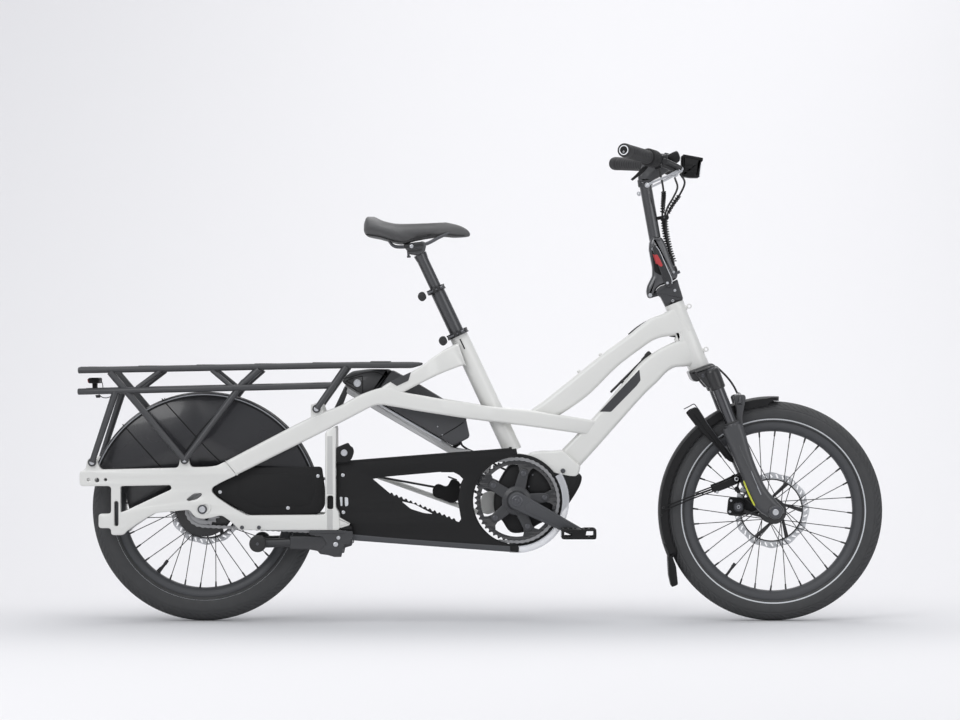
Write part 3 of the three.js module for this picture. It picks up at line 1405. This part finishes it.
// Battery and the cradle it slides in
const batteryPixels = [
  [392, 369.5], [418, 383.5], [442, 398], [465.5, 417], [470, 437], [453, 446], [440, 437], [381, 402.5],
  [372, 398.8]];
const batteryHalf = 42;
const batteryRound = 7;
const cradleCapPixels = [
  [342, 382], [346, 376], [353, 371], [368, 369], [391.8, 369.2], [371.75, 398.75], [361, 394]];
const cradleBeamPixels = [
  [345, 384], [361, 392], [371.4, 399.1], [380.9, 402.75], [439.9, 437.25], [453, 446.8], [470, 450],
  [492, 464],
  [488, 476], [440, 448], [380, 413], [345, 392]];
const cradleHalf = 40;
const cradleRound = 5;
const cradleBeamHalf = 14;
const cradleLockPixel = [357.3, 383.2];
const cradleLockRadius = 9;
const cradleLockRise = 3;
const crossTubePixel = [334, 419];
const crossTubeRadius = 9;
const cradleArmPixels = [[330, 424], [329, 414], [343, 386], [352, 390], [341, 420]];

function batteryCradle() {
  const cap = slab(outline(cradleCapPixels), -cradleHalf, cradleHalf, cradleRound);
  const beam = slab(outline(cradleBeamPixels), -cradleBeamHalf, cradleBeamHalf);
  const lock = disc(
    at(cradleLockPixel), cradleLockRadius, -cradleHalf + cradleRound, -cradleHalf - cradleLockRise);
  const arm = slab(outline(cradleArmPixels), -cradleBeamHalf, cradleBeamHalf);
  const tube = disc(at(crossTubePixel), crossTubeRadius, gap - frameInner, frameInner - gap);
  return cut(join(cap, beam, lock, arm, tube), motorRoom);
}

// Rear light on a cross bar between the lower rails
const rearLightPixels = [
  [89.6, 378.6], [91, 377.7], [100, 377.7], [100.7, 379], [100.2, 383.3], [90.2, 383.3]];
const rearLightHalf = 40;
const rearLightBarPixel = [95, 392];
const rearLightBarRadius = 5;
const rearLightArmPixels = [[92.6, 382], [97.4, 382], [97, 392], [93, 392]];
const rearLightArmHalf = 12;
const rearLightRound = 2;

function rearLight() {
  const box = slab(outline(rearLightPixels), -rearLightHalf, rearLightHalf, rearLightRound);
  const end = lowerRailSide - railTubeRadius - gap;
  const bar = disc(at(rearLightBarPixel, lowerRailSide), rearLightBarRadius, -end, end, rodFacets);
  const arm = slab(outline(rearLightArmPixels), -rearLightArmHalf, rearLightArmHalf);
  return join(box, bar, arm);
}

// Kickstand: two legs on one cross rod, folded up behind its bracket
const standPivotPixel = [337, 543];
const standPlatePixels = [[310, 530.2], [345, 530.2], [345, 533.4], [310, 533.4]];
const standWebPixels = [
  [326, 530.2], [345, 530.2], [352, 540], [352, 546], [345, 548], [341, 551], [333, 551], [329, 549]];
const standWebs = [63, 65.7];
const standBridgePixels = [[344, 541.5], [351.5, 541.5], [351.5, 545], [344, 545]];
const standRodRadius = 9;
const castingInner = 66;
const castingOuter = 90;
const castingRound = 4;
const castingEndRadius = 17;
const castingPixels = [
  [341, 556], [336, 556], [320, 554], [318, 551], [309, 549.4], [290, 549], [290, 536], [318, 536.4]];
const standTubePixels = [[294, 542.5], [258, 543.5]];
const standTubeRadius = 10.5;
const footRadius = 20;
const footWidth = 30;

function kickstandBracket() {
  const pivot = at(standPivotPixel, frameSide);
  let whole = slab(outline(standBridgePixels, frameSide), -standWebs[1], standWebs[1]);
  for (const side of [-1, 1]) {
    const web = slab(outline(standWebPixels, frameSide), side * standWebs[0], side * standWebs[1]);
    const plate = slab(outline(standPlatePixels, frameSide), side * standWebs[0], side * frameOuter);
    whole = join(whole, plate, cut(web, disc(pivot, standRodRadius + gap, -frameOuter, frameOuter)));
  }
  return whole;
}

function kickstandLeg() {
  const pivot = at(standPivotPixel, frameSide);
  let whole = disc(pivot, standRodRadius, -castingInner - castingRound, castingInner + castingRound);
  const middle = (castingInner + castingOuter) / 2;
  for (const side of [-1, 1]) {
    const shape = [...arc(pivot, castingEndRadius, 90, -60, 10), ...outline(castingPixels, frameSide)];
    const [near, far] = standTubePixels.map((place) => at(place, frameSide));
    whole = join(
      whole, slab(shape, side * castingInner, side * castingOuter, castingRound),
      rod([near[0], side * middle, near[1]], [far[0], side * middle, far[1]], standTubeRadius, thinFacets),
      disc(far, footRadius, side * (middle - standTubeRadius / 2), side * (middle + footWidth), rodFacets));
  }
  return whole;
}

piece('head_tube', headTube(), whitePaint());
piece('top_tube', topTube(), whitePaint());
piece('down_tube', downTube(), whitePaint());
piece('seat_tube', seatTube(), whitePaint());
piece('side_beam_right', sideBeam(sides.right), whitePaint());
piece('side_beam_left', sideBeam(sides.left), whitePaint());
piece('rear_frame_right', rearFrame(sides.right), whitePaint());
piece('rear_frame_left', rearFrame(sides.left), whitePaint());

piece('rear_tyre', tyre(rearAxle, rearTyreRadius, rearTyreWidth), tyreRubber());
piece('rear_rim', rim(rearAxle), blackPaint());
piece('rear_hub', hub(rearAxle, hubs.rear), blackPaint());
piece('rear_rotor', rotor(rearAxle, hubs.rear.rotorPlace, hubs.rear.capRadius), steel());
piece('rear_sprocket', sprocket(), steel());
piece('rear_axle', axle(rearAxle, frameOuter + gap), steel());
piece('front_tyre', tyre(frontAxle, frontTyreRadius, frontTyreWidth), tyreRubber());
piece('front_rim', rim(frontAxle), blackPaint());
piece('front_hub', hub(frontAxle, hubs.front), blackPaint());
piece('front_rotor', rotor(frontAxle, hubs.front.rotorPlace, hubs.front.capRadius), steel());
piece('front_axle', axle(frontAxle, legOuter + gap), steel());

piece('fork_crown', forkCrown(), blackPaint());
piece('fork_lowers', forkLowers(), blackPaint());
piece('front_caliper', caliper(calipers.front), blackPlastic());
piece('front_fender', frontFender(), blackPlastic());

piece('stem_base', stemBase(), blackPaint());
piece('handlepost', handlepost(), darkPaint());
piece('handlepost_latch', handlepostLatch(), blackPaint());
piece('handlebar', handlebar(), blackPaint());
piece('grip_right', sleeve(sides.right, gripFrom.right, barHalfLength, gripRadius), blackPlastic());
piece('grip_left', sleeve(sides.left, gripFrom.left, barHalfLength, gripRadius), blackPlastic());
piece(
  'twist_shifter', sleeve(sides.right, shifterFrom, shifterTo, shifterRadius, shifterPlay), blackPlastic());
piece('brake_lever_right', brakeLever(sides.right), silver());
piece('brake_lever_left', brakeLever(sides.left), silver());
piece('headlight', headlight(), blackPlastic());
piece('display', display(), blackPlastic());
piece('cables', cables(), blackPlastic());
piece('front_brake_hose', frontBrakeHose(), blackPlastic());

piece('saddle', saddle(), blackPlastic());
piece('seatpost_upper', upperPost(), silver());
piece('seatpost_lower', lowerPost(), blackPaint());
piece('seat_lever_upper', quickLever(lowerPostTop, lowerPostRadius), blackPaint());
piece('seat_lever_lower', quickLever(0, seatTubeRadius), blackPaint());

piece('motor', motor(), blackPlastic());
piece('chainring', chainring(), blackPaint());
piece('crank_right', rightCrank(), blackPaint());
piece('crank_left', leftCrank(), blackPaint());
piece('pedal_right', pedal(sides.right), blackPlastic());
piece('pedal_left', pedal(sides.left), blackPlastic());
piece('chain', chain(), steel());
piece('chain_cover_front', frontCover(), blackPlastic());
piece('chain_cover_rear', rearCover(), blackPlastic());

piece('rack_side_right', rackSide(sides.right), darkPaint());
piece('rack_side_left', rackSide(sides.left), darkPaint());
piece('rack_deck', rackDeck(), darkPaint());
piece('battery', slab(outline(batteryPixels), -batteryHalf, batteryHalf, batteryRound), darkPaint());
piece('battery_cradle', batteryCradle(), silver());
piece('rear_fender', rearFender(), blackPlastic());
piece('rear_light', rearLight(), blackPlastic());
piece('rear_caliper', caliper(calipers.rear), blackPlastic());
piece('kickstand_bracket', kickstandBracket(), silver());
piece('kickstand_leg', kickstandLeg(), silver());

// The middle of the part's foot is the origin
const box = new THREE.Box3().setFromObject(bike);
const middle = box.getCenter(new THREE.Vector3());
for (const mesh of bike.children) {
  mesh.geometry.translate(-middle.x, -middle.y, -box.min.z);
}

export default bike;
